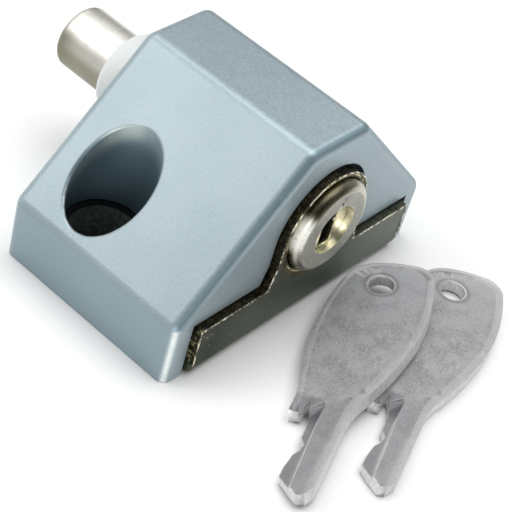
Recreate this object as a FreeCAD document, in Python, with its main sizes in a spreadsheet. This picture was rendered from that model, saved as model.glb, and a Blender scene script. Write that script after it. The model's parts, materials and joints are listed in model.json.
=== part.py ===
import FreeCAD, Part
import math
import os

import Sketcher

# A push-to-lock window sash lock. The bolt runs along X: its nose points to -X and the key side faces +X.
# Z is up from the sash. The origin is the middle of the housing's footprint on the mounting plane.
# All lengths are in millimetres, and the lock is drawn with its bolt thrown.

DRIVING = {
    "housing_width": 52.0,
    "housing_length": 30.6,
    "housing_height": 29.4,
    "side_height": 9.6,
    "top_width": 11.2,
    "slope_round": 2.1,
    "end_round": 1.5,
    "housing_wall": 2.6,
    "axis_height": 16.0,
    "core_half": 9.8,
    "screw_offset": 5.3,
    "screw_spacing": 37.2,
    "screw_pocket_radius": 5.7,
    "screw_neck_radius": 4.75,
    "screw_ledge_height": 7.9,
    "screw_hole_radius": 2.5,
    "boss_wall": 2.0,
    "rim_round": 0.4,
    "plate_thick": 2.0,
    "plate_half": 21.9,
    "strap_half": 23.15,
    "plate_back": 13.2,
    "plate_bend": 1.8,
    "flange_proud": 1.0,
    "strip_height": 8.3,
    "arch_height": 15.8,
    "arch_radius": 8.3,
    "arch_foot": 9.2,
    "opening_gap": 0.7,
    "opening_depth": 2.4,
    "bore_radius": 7.3,
    "barrel_radius": 7.2,
    "barrel_round": 1.25,
    "barrel_front": 17.9,
    "barrel_back": 4.0,
    "face_hole_radius": 3.8,
    "face_thick": 2.5,
    "plug_bore_radius": 4.55,
    "plug_radius": 4.5,
    "plug_nose_radius": 3.72,
    "plug_recess": 1.1,
    "plug_tail": 4.4,
    "keyway_height": 5.2,
    "keyway_width": 2.4,
    "keyway_drop": 0.6,
    "wafer_pitch": 2.2,
    "wafer_first": 13.4,
    "wafer_thick": 1.0,
    "wafer_width": 4.6,
    "wafer_height": 7.5,
    "wafer_lift": 0.7,
    "bolt_radius": 4.85,
    "bolt_throw": 16.2,
    "bolt_tip_round": 0.9,
    "bush_radius": 6.3,
    "bush_proud": 6.8,
    "bush_round": 1.3,
    "bush_flange_thick": 1.4,
    "nose_wall": 3.5,
    "spring_wire": 0.9,
    "spring_turns": 5.0,
    "key_thick": 2.2,
    "key_ring_x": 40.2,
    "key_ring_y": 1.15,
    "key_ring_radius": 1.85,
    "key_field_depth": 0.15,
    "plate_screw_back": 9.5,
    "plate_screw_aside": 7.4,
    "plate_screw_shank": 1.2,
    "plate_screw_head": 1.5,
    "pin_radius": 1.0,
    "travel_pin_x": 10.0,
    "travel_pin_y": 6.7,
    "travel_pin_base": 2.1,
    "travel_pin_length": 18.7,
    "cross_pin_back": 2.2,
    "cross_pin_length": 14.0,
    "leaf_start": 0.6,
    "leaf_end": 12.4,
    "leaf_under": 9.6,
    "leaf_thick": 0.4,
    "leaf_half": 1.6,
    "tongue_half": 1.0,
    "hook_height": 2.25,
    "rivet_x": 11.0,
    "rivet_radius": 0.8,
    "cam_start": 1.7,
    "cam_thick": 1.6,
    "cam_radius": 2.15,
    "cam_reach": 3.3,
    "tail_half": 1.2,
    "clip_start": 3.8,
    "clip_thick": 0.5,
}

doc = FreeCAD.newDocument("SashLock")
sheet = doc.addObject("Spreadsheet::Sheet", "Sheet")
for row, (alias, number) in enumerate(DRIVING.items(), start=1):
    sheet.set(f"A{row}", alias)
    sheet.set(f"B{row}", str(number))
    sheet.setAlias(f"B{row}", alias)
doc.recompute()


class Size:
    """A length, kept with the spreadsheet expression that it is worked out from."""

    def __init__(self, value, text=None):
        self.value = float(value)
        self.text = text if text is not None else repr(float(value))

    def join(self, sign, other, value):
        return Size(value, f"({self.text} {sign} {other.text})")

    def __add__(self, other):
        other = size(other)
        return self.join("+", other, self.value + other.value)

    def __sub__(self, other):
        other = size(other)
        return self.join("-", other, self.value - other.value)

    def __mul__(self, other):
        other = size(other)
        return self.join("*", other, self.value * other.value)

    def __truediv__(self, other):
        other = size(other)
        return self.join("/", other, self.value / other.value)

    def __neg__(self):
        return Size(-self.value, f"(0 - {self.text})")


def size(thing):
    """A Size from a Size, a sheet alias or a plain number."""
    if isinstance(thing, Size):
        return thing
    if isinstance(thing, str):
        return Size(float(sheet.get(thing)), f"Sheet.{thing}")
    return Size(thing)


def bind(obj, prop, thing):
    """Give a property its value, bound to the sheet."""
    obj.setExpression(prop, size(thing).text)


def place(obj, x=0, y=0, z=0, turn=None):
    """Place an object, its position bound to the sheet, its turn an (axis, angle) pair."""
    if turn is not None:
        obj.Placement = FreeCAD.Placement(FreeCAD.Vector(0, 0, 0), FreeCAD.Rotation(*turn))
    bind(obj, "Placement.Base.x", x)
    bind(obj, "Placement.Base.y", y)
    bind(obj, "Placement.Base.z", z)
    return obj


X_AXIS = FreeCAD.Vector(1, 0, 0)
Y_AXIS = FreeCAD.Vector(0, 1, 0)
Z_AXIS = FreeCAD.Vector(0, 0, 1)
ALONG_X = (Y_AXIS, 90)
ALONG_Y = (X_AXIS, -90)


# ---- Part primitives and booleans ----------------------------------------------------------------

def box(name, x, y, z):
    """A block between two limits on each axis: x, y and z are (low, high) pairs."""
    solid = doc.addObject("Part::Box", name)
    for prop, (low, high) in (("Length", x), ("Width", y), ("Height", z)):
        bind(solid, prop, size(high) - size(low))
    return place(solid, x[0], y[0], z[0])


def rod(name, start, radius, length, turn=None):
    """A round bar from a start point, along Z or along the turned axis."""
    solid = doc.addObject("Part::Cylinder", name)
    bind(solid, "Radius", radius)
    bind(solid, "Height", length)
    return place(solid, *start, turn=turn)


def cone(name, start, radius_low, radius_high, length):
    solid = doc.addObject("Part::Cone", name)
    bind(solid, "Radius1", radius_low)
    bind(solid, "Radius2", radius_high)
    bind(solid, "Height", length)
    return place(solid, *start)


def fuse(name, *solids):
    joined = doc.addObject("Part::MultiFuse", name)
    joined.Shapes = list(solids)
    return joined


def cut(name, base, *tools):
    """The base with every tool taken away."""
    result = doc.addObject("Part::Cut", name)
    result.Base = base
    result.Tool = tools[0] if len(tools) == 1 else fuse(f"{name}Tools", *tools)
    return result


# ---- PartDesign bodies ---------------------------------------------------------------------------

def new_body(name, height=0):
    """A body whose own origin stands at a height above the mounting plane."""
    body = doc.addObject("PartDesign::Body", name)
    bind(body, "Placement.Base.z", height)
    return body


def sketch_on(body, role, name, offset=0):
    """A sketch on one of the body's origin planes, moved along the plane's normal."""
    sketch = body.newObject("Sketcher::SketchObject", name)
    plane = next(f for f in body.Origin.OriginFeatures if f.Role == role)
    sketch.AttachmentSupport = (plane, [""])
    sketch.MapMode = "FlatFace"
    bind(sketch, "AttachmentOffset.Base.z", offset)
    return sketch


def hold_point(sketch, element, point, horizontal, vertical):
    """Tie one point of a sketch to its two coordinates."""
    for kind, thing in (("DistanceX", horizontal), ("DistanceY", vertical)):
        coordinate = size(thing)
        index = sketch.addConstraint(
            Sketcher.Constraint(kind, -1, 1, element, point, coordinate.value)
        )
        sketch.setExpression(f"Constraints[{index}]", coordinate.text)


def polygon(sketch, corners):
    """A closed outline of straight lines through bound corners."""
    points = [FreeCAD.Vector(size(x).value, size(y).value, 0) for x, y in corners]
    lines = [Part.LineSegment(a, b) for a, b in zip(points, points[1:] + points[:1])]
    first = sketch.addGeometry(lines, False)[0]
    count = len(lines)
    for i in range(count):
        after = first + (i + 1) % count
        sketch.addConstraint(Sketcher.Constraint("Coincident", first + i, 2, after, 1))
    for i, (x, y) in enumerate(corners):
        hold_point(sketch, first + i, 1, x, y)


def circle(sketch, x, y, radius):
    centre = FreeCAD.Vector(size(x).value, size(y).value, 0)
    element = sketch.addGeometry(Part.Circle(centre, Z_AXIS, size(radius).value), False)
    hold_point(sketch, element, 3, x, y)
    index = sketch.addConstraint(Sketcher.Constraint("Radius", element, size(radius).value))
    sketch.setExpression(f"Constraints[{index}]", size(radius).text)


def extrude(body, kind, name, sketch, length, reverse=False, middle=False):
    """A Pad or a Pocket of one sketch."""
    feature = body.newObject(f"PartDesign::{kind}", name)
    feature.Profile = sketch
    bind(feature, "Length", length)
    feature.Reversed = reverse
    feature.Midplane = middle
    body.Tip = feature
    return feature


def turned(name, height, profile):
    """A body turned about its own X axis from (x, radius) corners."""
    body = new_body(name, height)
    sketch = sketch_on(body, "XZ_Plane", f"{name}Profile")
    polygon(sketch, profile)
    feature = body.newObject("PartDesign::Revolution", f"{name}Turning")
    feature.Profile = sketch
    feature.ReferenceAxis = (sketch, ["H_Axis"])
    feature.Angle = 360
    body.Tip = feature
    return body


def rounded(body, name, radius, wanted):
    """Round the edges of the body's tip for which wanted(edge) is true."""
    doc.recompute()
    base = body.Tip
    edges = [f"Edge{i}" for i, edge in enumerate(base.Shape.Edges, start=1) if wanted(edge)]
    feature = body.newObject("PartDesign::Fillet", name)
    feature.Base = (base, edges)
    bind(feature, "Radius", radius)
    body.Tip = feature
    return feature


def near(a, b, tolerance=0.02):
    return abs(a - b) < tolerance


# ---- Sizes that several pieces share -------------------------------------------------------------

width_half = size("housing_width") / 2
length_half = size("housing_length") / 2
top_half = size("top_width") / 2
axis = size("axis_height")
wall = size("housing_wall")
plate_top = size("plate_thick")
flange_face = length_half + "flange_proud"
flange_back = flange_face - "plate_thick"
opening_floor = length_half - "opening_depth"
step = -(length_half - "nose_wall")
bush_nose = -(length_half + "bush_proud")
bolt_tip = -(length_half + "bolt_throw")
barrel_rear = -size("barrel_back")
screw_x = -size("screw_offset")
screw_y = size("screw_spacing") / 2
plate_screw_x = -size("plate_screw_back")
plate_screw_y = size("plate_screw_aside")
cross_pin_x = -size("cross_pin_back")
leaf_top = size("leaf_under") + "leaf_thick"
keyway_axis = axis - "keyway_drop"
SLIP = 0.05
PAST = 1.0

nodes = {}


def node(name, obj):
    """Name an object as one of the lock's pieces."""
    obj.Label = name
    nodes[name] = obj
    return obj


# ---- Housing: die-cast body with sloping flanks, cored out from below ----------------------------

def side_pocket(name, side):
    """One cored-out pocket beside the barrel's block, with the screw boss left standing."""
    inner = width_half - wall
    slope_drop = wall * math.tan(math.radians(22.5))
    body = new_body(name)
    sketch = sketch_on(body, "YZ_Plane", f"{name}Section", -(length_half - wall))
    polygon(sketch, [
        (size("core_half") * side, plate_top),
        (inner * side, plate_top),
        (inner * side, size("side_height") - slope_drop),
        (size("core_half") * side, size("side_height") - slope_drop + inner - "core_half"),
    ])
    extrude(body, "Pad", f"{name}Depth", sketch, opening_floor - wall + length_half - wall)
    boss_radius = size("screw_pocket_radius") + "boss_wall"
    boss = rod(f"{name}Boss", (screw_x, screw_y * side, 0), boss_radius, "housing_height")
    return cut(f"{name}Core", body, boss)


def strap_outline(sketch, grow, front):
    """The strap's outline: wide under the casting, narrower where it leaves through the end opening."""
    back = -(size("plate_back") + grow)
    wide = size("strap_half") + grow
    narrow = size("plate_half") + grow
    neck = opening_floor - 0.6 + grow
    polygon(sketch, [
        (back, -wide), (neck, -wide), (neck, -narrow), (front, -narrow),
        (front, narrow), (neck, narrow), (neck, wide), (back, wide),
    ])


def opening_outline(sketch, grow):
    """The end flange's outline without its round head, grown by a gap."""
    strip = size("plate_half") + grow
    top = size("strip_height") + grow
    foot = size("arch_foot") + grow
    shoulder = size("arch_radius") + grow
    neck = size("strip_height") + 4.0
    arch = size("arch_height")
    polygon(sketch, [
        (-strip, 0), (strip, 0), (strip, top), (foot, top), (shoulder, neck), (shoulder, arch),
        (-shoulder, arch), (-shoulder, neck), (-foot, top), (-strip, top),
    ])


def build_housing():
    body = new_body("HousingBody")
    section = sketch_on(body, "YZ_Plane", "HousingSection")
    polygon(section, [
        (-width_half, 0), (width_half, 0), (width_half, "side_height"), (top_half, "housing_height"),
        (-top_half, "housing_height"), (-width_half, "side_height"),
    ])
    extrude(body, "Pad", "HousingBlock", section, "housing_length", middle=True)

    def along_slope(edge):
        ends = edge.Vertexes
        return not near(ends[0].X, ends[1].X) and ends[0].Z > 1

    def on_end(edge):
        box_of = edge.BoundBox
        return box_of.XLength < 0.01 and near(abs(box_of.XMin), length_half.value) and box_of.ZMax > 1

    rounded(body, "SlopeRounds", "slope_round", along_slope)
    rounded(body, "EndRounds", "end_round", on_end)

    for label, side in (("Left", -1), ("Right", 1)):
        hole = sketch_on(body, "XY_Plane", f"{label}ScrewPocket", "screw_ledge_height")
        circle(hole, screw_x, screw_y * side, "screw_pocket_radius")
        extrude(body, "Pocket", f"{label}ScrewPocketCut", hole, "housing_height", reverse=True)

        def on_rim(edge):
            centre = edge.BoundBox.Center
            on_axis = near(centre.x, screw_x.value, 0.1) and near(centre.y, screw_y.value * side, 0.1)
            return on_axis and edge.BoundBox.ZLength > 5
        rounded(body, f"{label}Rim", "rim_round", on_rim)
        neck = sketch_on(body, "XY_Plane", f"{label}ScrewNeck")
        circle(neck, screw_x, screw_y * side, "screw_neck_radius")
        extrude(body, "Pocket", f"{label}ScrewNeckCut", neck, size("screw_ledge_height") + 1, reverse=True)

    opening = sketch_on(body, "YZ_Plane", "Opening", opening_floor)
    opening_outline(opening, size("opening_gap"))
    extrude(body, "Pocket", "OpeningCut", opening, size("opening_depth") + 1, reverse=True)
    head = sketch_on(body, "YZ_Plane", "OpeningHead", opening_floor)
    circle(head, 0, "arch_height", size("arch_radius") + "opening_gap")
    extrude(body, "Pocket", "OpeningHeadCut", head, size("opening_depth") + 1, reverse=True)

    seat = sketch_on(body, "XY_Plane", "PlateSeat")
    strap_outline(seat, size(0.25), length_half + 1)
    extrude(body, "Pocket", "PlateSeatCut", seat, plate_top, reverse=True)

    bore = rod("BarrelBore", (step, 0, axis), "bore_radius", size("housing_length"), ALONG_X)
    nose = rod("NoseBore", (step - 10, 0, axis), size("bush_radius") + SLIP, 12, ALONG_X)
    catch = box("CatchSlot", (-1.4, 1.05), (-2.0, 2.0), (0, axis))
    pin_hole = rod("TravelPinHole", ("travel_pin_x", "travel_pin_y", 0), "pin_radius", 21)
    screws = [
        rod(f"PlateScrewTap{i}", (plate_screw_x, plate_screw_y * side, 0), "plate_screw_shank", 7.5)
        for i, side in enumerate((-1, 1))
    ]
    cores = [side_pocket("LeftCore", -1), side_pocket("RightCore", 1)]
    return cut("HousingCast", body, bore, nose, catch, pin_hole, *screws, *cores)


# ---- Base plate: steel strap under the housing, turned up into the end flange --------------------

def build_base_plate():
    body = new_body("BasePlateBody")
    flange = sketch_on(body, "YZ_Plane", "FlangeOutline", flange_back)
    opening_outline(flange, size(0))
    extrude(body, "Pad", "Flange", flange, "plate_thick")
    head = sketch_on(body, "YZ_Plane", "FlangeHead", flange_back)
    circle(head, 0, "arch_height", "arch_radius")
    extrude(body, "Pad", "FlangeHeadPad", head, "plate_thick")
    strap = sketch_on(body, "XY_Plane", "StrapOutline")
    strap_outline(strap, size(0), flange_face - 0.01)
    extrude(body, "Pad", "Strap", strap, "plate_thick")

    def on_bend(edge):
        limits = edge.BoundBox
        return limits.YLength > 40 and near(limits.XMax, flange_face.value) and limits.ZMax < 0.1
    rounded(body, "Bend", "plate_bend", on_bend)

    barrel_hole = sketch_on(body, "YZ_Plane", "BarrelHole", flange_back - 1)
    circle(barrel_hole, 0, axis, size("barrel_radius") + 0.2)
    extrude(body, "Pocket", "BarrelHoleCut", barrel_hole, size("plate_thick") + 2, reverse=True)
    screw_holes = sketch_on(body, "XY_Plane", "ScrewHoles")
    for side in (-1, 1):
        circle(screw_holes, screw_x, screw_y * side, "screw_hole_radius")
    extrude(body, "Pocket", "ScrewHolesCut", screw_holes, size("plate_thick") + 1, reverse=True)
    sinks = []
    for i, side in enumerate((-1, 1)):
        aside = plate_screw_y * side
        sinks.append(rod(f"PlateScrewHole{i}", (plate_screw_x, aside, -PAST), 1.55, 5))
        sinks.append(cone(f"PlateScrewSink{i}", (plate_screw_x, aside, 0), 2.8, 1.3, "plate_screw_head"))
    return cut("BasePlateFinished", body, *sinks)


def plate_screw(i, side):
    """A small countersunk screw that holds the strap to the casting, its slot on the underside."""
    aside = plate_screw_y * side
    head = cone(f"ScrewHead{i}", (plate_screw_x, aside, 0.02), 2.7, "plate_screw_shank", "plate_screw_head")
    shank = rod(f"ScrewShank{i}", (plate_screw_x, aside, 0.5), "plate_screw_shank", 6.5)
    slot_half = 0.3
    slot_x = (plate_screw_x - 3, plate_screw_x + 3)
    slot = box(f"ScrewSlot{i}", slot_x, (aside - slot_half, aside + slot_half), (-PAST, 0.6))
    return cut(f"PlateScrew{i}", fuse(f"ScrewBlank{i}", head, shank), slot)


# ---- Barrel and bolt: the plunger ----------------------------------------------------------------

def cross_pin_hole(name):
    """The hole that the cross pin is driven through."""
    start = (cross_pin_x, -8, axis)
    return rod(f"{name}CrossPinHole", start, size("pin_radius") + SLIP, 16, ALONG_Y)


def build_barrel():
    front = size("barrel_front")
    body = turned("BarrelBody", axis, [
        (barrel_rear, "plug_bore_radius"), (front - "face_thick", "plug_bore_radius"),
        (front - "face_thick", "face_hole_radius"), (front, "face_hole_radius"),
        (front, "barrel_radius"), (barrel_rear, "barrel_radius"),
    ])

    def on_front(edge):
        limits = edge.BoundBox
        return near(limits.XMin, front.value) and limits.YLength > 2 * size("barrel_radius").value - 0.5
    rounded(body, "BarrelFrontRound", "barrel_round", on_front)

    wafer_half = size("wafer_width") / 2 + 0.15
    reach = size("wafer_height") / 2 + "wafer_lift" + 0.9
    last = size("wafer_first") - size("wafer_pitch") * 3
    span = (last - 0.9, size("wafer_first") + 0.9)
    leaf_back = size("leaf_start") - 0.2
    leaf_room = (-(size("leaf_half") + 0.3), size("leaf_half") + 0.3)
    groove = size("clip_start") - 0.06
    groove_width = size("clip_thick") + 0.12
    tools = [
        box("WaferSlotUp", span, (-wafer_half, wafer_half), (axis, axis + reach)),
        box("WaferSlotSide", span, (-reach, 0), (axis - wafer_half, axis + wafer_half)),
        box("TravelFlat", (-0.1, 11.1), (5.62, 8), (axis - 6, axis + 6)),
        box("LeafSeat", (leaf_back, size("leaf_end") + 0.2), leaf_room, (axis - 8, leaf_top)),
        box("LeafRelief", (leaf_back, 9.2), leaf_room, (axis - 8, leaf_top + PAST)),
        box("TongueSlot", (leaf_back, 3.4), leaf_room, (axis - 8, axis)),
        rod("LeafRivetHole", ("rivet_x", 0, 8), "rivet_radius", 3.2),
        cross_pin_hole("Barrel"),
        rod("IndexDot", (front - 0.35, 0, axis + 4.75), 0.4, 1, ALONG_X),
        cut("ClipGroove", rod("ClipGrooveOuter", (groove, 0, axis), 4.95, groove_width, ALONG_X),
            rod("ClipGrooveInner", (groove - SLIP, 0, axis), 4.0, groove_width + 2 * SLIP, ALONG_X)),
    ]
    return cut("BarrelFinished", body, *tools)


def build_bolt():
    body = turned("BoltBody", axis, [
        (bolt_tip, 0), (-0.3, 0), (-0.3, 4.5), (barrel_rear, 4.5), (barrel_rear, "bolt_radius"),
        (bolt_tip, "bolt_radius"),
    ])

    def on_tip(edge):
        return near(edge.BoundBox.XMax, bolt_tip.value)
    rounded(body, "BoltTipRound", "bolt_tip_round", on_tip)
    return cut("BoltFinished", body, cross_pin_hole("Bolt"))


def build_bush():
    bore = size("bolt_radius") + 0.08
    body = turned("BushBody", axis, [
        (bush_nose, bore), (step + "bush_flange_thick", bore), (step + "bush_flange_thick", 7.2),
        (step, 7.2), (step, "bush_radius"), (bush_nose, "bush_radius"),
    ])

    def on_nose(edge):
        limits = edge.BoundBox
        return near(limits.XMax, bush_nose.value) and near(limits.YLength, 2 * size("bush_radius").value)
    rounded(body, "BushRound", "bush_round", on_nose)
    return body


# ---- Key plug, wafers and release cam ------------------------------------------------------------

def wafer_x(i):
    return size("wafer_first") - size("wafer_pitch") * i


def build_plug():
    shoulder = size("barrel_front") - "face_thick" - SLIP
    face = size("barrel_front") - "plug_recess"
    tail = size("plug_tail")
    body = turned("PlugBody", axis, [
        (tail, 0), (face, 0), (face, "plug_nose_radius"), (shoulder, "plug_nose_radius"),
        (shoulder, "plug_radius"), (tail, "plug_radius"),
    ])
    square = size("tail_half")
    square_z = (axis - square, axis + square)
    tail_square = box("PlugTail", ("cam_start", tail + 0.5), (-square, square), square_z)
    half_height = size("keyway_height") / 2
    half_width = size("keyway_width") / 2
    keyway_z = (keyway_axis - half_height, keyway_axis + half_height)
    tools = [box("Keyway", (tail + 0.8, face + PAST), (-half_width, half_width), keyway_z)]
    for i in range(4):
        x = (wafer_x(i) - 0.55, wafer_x(i) + 0.55)
        side = size("wafer_width") / 2 + SLIP
        tools.append(box(f"WaferGate{i}", x, (-side, side), (axis - 5, axis + 5)))
        tools.append(box(f"WaferEarGate{i}", x, (0, 3.6), (axis - 1.7, axis + 2.9)))
    rib = box("KeywayRib", (tail + 0.8, face), (0.75, 1.5), (axis + 0.35, axis + 0.95))
    gates = [
        box(f"RibGate{i}", (wafer_x(i) - 0.6, wafer_x(i) + 0.6), (0, 2), (axis, axis + 2))
        for i in range(4)
    ]
    milled = cut("PlugMilled", fuse("PlugBlank", body, tail_square), *tools)
    return fuse("PlugFinished", milled, cut("KeywayRibCut", rib, *gates))


def build_wafer(i):
    """A flat brass wafer with a window for the key and an ear for its spring."""
    half_thick = size("wafer_thick") / 2
    x = (wafer_x(i) - half_thick, wafer_x(i) + half_thick)
    half_width = size("wafer_width") / 2
    half_height = size("wafer_height") / 2
    plate = box(f"WaferPlate{i}", x, (-half_width, half_width), (axis - half_height, axis + half_height))
    ear = box(f"WaferEar{i}", x, (half_width - 0.2, 3.4), (axis + 1.3, axis + 2.0))
    window_half = size("keyway_height") / 2 + 0.1
    window_z = (keyway_axis - window_half, keyway_axis + window_half)
    window = box(f"WaferWindow{i}", (x[0] - PAST, x[1] + PAST), (-1.25, 1.25), window_z)
    return cut(f"Wafer{i}", fuse(f"WaferBlank{i}", plate, ear), window)


def coil(name, start, turn, radius, wire, pitch, turns):
    """A round-wire helical spring that starts at a point and runs along the turned Z axis."""
    length = pitch * turns
    path = Part.Wire(Part.makeHelix(pitch, length, radius).Edges)
    ring = Part.Wire(Part.makeCircle(wire / 2, FreeCAD.Vector(radius, 0, 0), Y_AXIS))
    feature = doc.addObject("Part::Feature", name)
    feature.Shape = path.makePipeShell([ring], True, True)
    feature.Placement = FreeCAD.Placement(FreeCAD.Vector(*start), FreeCAD.Rotation(*turn))
    return feature


def build_return_spring():
    low = (step + "bush_flange_thick").value
    high = barrel_rear.value
    wire = size("spring_wire").value
    turns = size("spring_turns").value
    pitch = (high - low - wire - 0.1) / turns
    start = (low + wire / 2 + 0.05, 0, axis.value)
    return coil("ReturnCoil", start, ALONG_X, 6.0, wire, pitch, turns)


def build_wafer_spring(i):
    start = (wafer_x(i).value, 2.95, axis.value - 1.55)
    return coil(f"WaferCoil{i}", start, (Z_AXIS, 0), 0.38, 0.2, 0.65, 4)


def build_cam():
    start = size("cam_start")
    end = start + "cam_thick"
    half = size("tail_half")
    disc = rod("CamDisc", (start, 0, axis), "cam_radius", "cam_thick", ALONG_X)
    lobe = box("CamLobe", (start, end), (0, "cam_reach"), (axis - 1.0, axis + 1.0))
    square = box("CamSquare", (start - PAST, end + PAST), (-half, half), (axis - half, axis + half))
    return cut("CamFinished", fuse("CamBlank", disc, lobe), square)


def build_clip():
    start = size("clip_start")
    outer = rod("ClipOuter", (start, 0, axis), 4.85, "clip_thick", ALONG_X)
    inner = rod("ClipInner", (start - PAST, 0, axis), 3.3, 2 * PAST + 0.5, ALONG_X)
    mouth = box("ClipMouth", (start - PAST, start + 2 * PAST), (-1.4, 1.4), (axis - 6, axis))
    return cut("ClipFinished", outer, inner, mouth)


# ---- Catch leaf: the spring latch that holds the plunger in --------------------------------------

def build_catch_leaf():
    start = size("leaf_start")
    under = size("leaf_under")
    thick = size("leaf_thick")
    across = (-size("leaf_half"), size("leaf_half"))
    narrow = (-size("tongue_half"), size("tongue_half"))
    hook = axis + "hook_height"
    strip = box("LeafStrip", (start, "leaf_end"), across, (under, leaf_top))
    foot = box("LeafFoot", (start, start + thick), across, (under - 2.2, under + 0.2))
    tongue = box("LeafTongue", (start + thick, start + thick * 2), narrow, (under + 0.2, hook + thick))
    bent = box("LeafHook", (start + 0.6, start + 2.4), narrow, (hook, hook + thick))
    hole = rod("LeafHole", ("rivet_x", 0, under - PAST), "rivet_radius", 3)
    return cut("LeafFinished", fuse("LeafBlank", strip, foot, tongue, bent), hole)


def build_catch_rivet():
    under = size("leaf_under")
    head = rod("RivetHead", ("rivet_x", 0, under - 0.45), 1.3, 0.45)
    shank = rod("RivetShank", ("rivet_x", 0, under - 0.1), "rivet_radius", 1.65)
    return fuse("RivetFinished", head, shank)


# ---- Keys ----------------------------------------------------------------------------------------

# A key lies along its own X axis: its tip is at 0, the bitting faces +Y and the bow ends near 45.
BLADE_HALF = 2.65
BOW_HALF = 7.1
BOW_WIDEST = 31.5
FIELD_EDGE = -1.75

# The bow's round end, from its widest place on the bitting side round to the plain side: each entry is
# (x, y, outward x, outward y).
BOW_HEAD = (
    (BOW_WIDEST, BOW_HALF, 0.0, 1.0), (36.8, 6.9, 0.1, 1.0), (40.5, 6.3, 0.3, 0.95), (42.9, 4.9, 0.75, 0.66),
    (44.45, 2.4, 0.95, 0.3), (45.1, 0.4, 0.98, 0.15), (45.45, -1.8, 1.0, 0.0), (45.2, -4.1, 0.85, -0.5),
    (43.6, -5.6, 0.5, -0.87), (40.2, -6.45, 0.2, -0.98), (BOW_WIDEST, -6.95, -0.05, -1.0),
)


def arc(a, b, c):
    return Part.Arc(*[FreeCAD.Vector(x, y, 0) for x, y in (a, b, c)])


def line(a, b):
    return Part.LineSegment(*[FreeCAD.Vector(x, y, 0) for x, y in (a, b)])


def lines(points):
    return [line(a, b) for a, b in zip(points, points[1:])]


def arcs(points):
    """Arcs through every second point."""
    return [arc(*points[i:i + 3]) for i in range(0, len(points) - 2, 2)]


def bow_head(borders):
    """The bow's round end, drawn in from the edge by one border per point."""
    return [(x - out_x * b, y - out_y * b) for (x, y, out_x, out_y), b in zip(BOW_HEAD, borders)]


def key_outline():
    """Bitted blade, stop shoulder and a long tapered bow."""
    bitting = [
        (1.9, -BLADE_HALF), (0.4, -1.9), (-0.1, -0.8), (1.1, 0.85), (2.4, 2.3), (4.0, 2.3),
        (6.4, 1.95), (7.4, 1.4), (8.4, 1.2), (9.5, 1.9), (12.1, 1.95), (13.3, 2.15),
        (15.2, 2.85), (14.4, 3.2), (13.1, 3.2), (12.9, 4.85), (15.4, 4.85),
    ]
    head = bow_head([0] * len(BOW_HEAD))
    neck = (14.5, -BLADE_HALF)
    bitting_side = [bitting[-1], (17.7, 5.1), (19.7, 5.6), (25.3, 6.8), head[0]]
    plain_side = [head[-1], (24.9, -5.75), (18.8, -3.85), (16.8, -3.1), neck]
    return lines(bitting) + arcs(bitting_side + head[1:] + plain_side[1:]) + [line(neck, bitting[0])]


def bow_field():
    """The sunk field inside the border, which runs on down the plain side of the blade."""
    head = bow_head([0.7] * 4 + [0.8] * 3 + [1.0] * 4)
    plain_side = [head[-1], (25.4, -4.6), (20.2, -3.05), (17.0, -2.05), (13.5, FIELD_EDGE)]
    end = [plain_side[-1], (-PAST, FIELD_EDGE), (-PAST, 4.0), (16.2, 4.0)]
    bitting_side = [end[-1], (20.6, 5.1), head[0]]
    return arcs(head + plain_side[1:]) + lines(end) + arcs(bitting_side)


def build_key(name):
    body = new_body(f"{name}Body")
    top = size("key_thick")
    outline = sketch_on(body, "XY_Plane", f"{name}Outline")
    outline.addGeometry(key_outline(), False)
    extrude(body, "Pad", f"{name}Blank", outline, top)
    depth = size("key_field_depth")
    for face, offset, up in (("Top", top - depth, True), ("Under", depth, False)):
        field = sketch_on(body, "XY_Plane", f"{name}{face}Field", offset)
        field.addGeometry(bow_field(), False)
        extrude(body, "Pocket", f"{name}{face}FieldCut", field, PAST, reverse=up)
    ring = sketch_on(body, "XY_Plane", f"{name}Ring")
    circle(ring, "key_ring_x", "key_ring_y", "key_ring_radius")
    extrude(body, "Pocket", f"{name}RingHole", ring, top + PAST, reverse=True)
    milled = sketch_on(body, "XY_Plane", f"{name}Milled", top - 0.7)
    polygon(milled, [(-PAST, 0.3), (15.9, 1.0), (12.6, 4.0), (-PAST, 4.0)])
    extrude(body, "Pocket", f"{name}MilledStep", milled, PAST, reverse=True)
    return body


# ---- The pieces, by name -------------------------------------------------------------------------

node("housing", build_housing())
node("base_plate", build_base_plate())
node("plate_screws", fuse("PlateScrews", plate_screw(0, -1), plate_screw(1, 1)))
node("bolt_bush", build_bush())
pin_base = ("travel_pin_x", "travel_pin_y", "travel_pin_base")
node("travel_pin", rod("TravelPin", pin_base, "pin_radius", "travel_pin_length"))
node("lock_barrel", build_barrel())
node("bolt", build_bolt())
pin_start = (cross_pin_x, -size("cross_pin_length") / 2, axis)
node("bolt_cross_pin", rod("CrossPin", pin_start, "pin_radius", "cross_pin_length", ALONG_Y))
node("return_spring", build_return_spring())
node("catch_leaf", build_catch_leaf())
node("catch_rivet", build_catch_rivet())
node("key_plug", build_plug())
node("plug_clip", build_clip())
node("release_cam", build_cam())
for number in range(4):
    node(f"wafer_{number + 1}", build_wafer(number))
    node(f"wafer_spring_{number + 1}", build_wafer_spring(number))

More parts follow.
